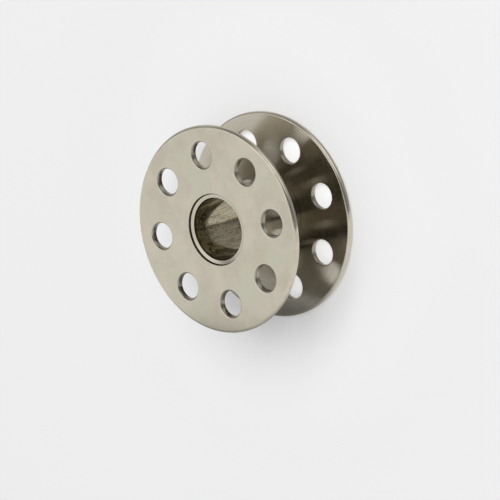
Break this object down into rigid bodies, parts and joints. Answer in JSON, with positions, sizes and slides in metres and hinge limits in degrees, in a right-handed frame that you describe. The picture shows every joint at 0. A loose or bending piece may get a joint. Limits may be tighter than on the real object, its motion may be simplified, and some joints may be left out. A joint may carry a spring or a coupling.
{
  "type": "sewing machine bobbin",
  "caption": "Metal sewing machine bobbin: a turned hub with a plain spindle bore, and a stamped round flange with a ring of punched holes pressed on to each end.",
  "frame": {"origin": "centre of the lower flange's outer face, which the bobbin stands on", "axes": "+Z along the spindle bore, up through the upper flange; -Y towards the viewer of the picture"},
  "size_m": [0.0202, 0.0202, 0.0084],
  "materials": {
    "flange_metal": "satin nickel plate, fine brushed and mottled",
    "hub_metal": "bright turned nickel plate with fine axial drag marks"
  },
  "bodies": {
    "root": {"hub": "hub_metal", "upper_flange": "flange_metal", "lower_flange": "flange_metal"}
  },
  "joints": []
}
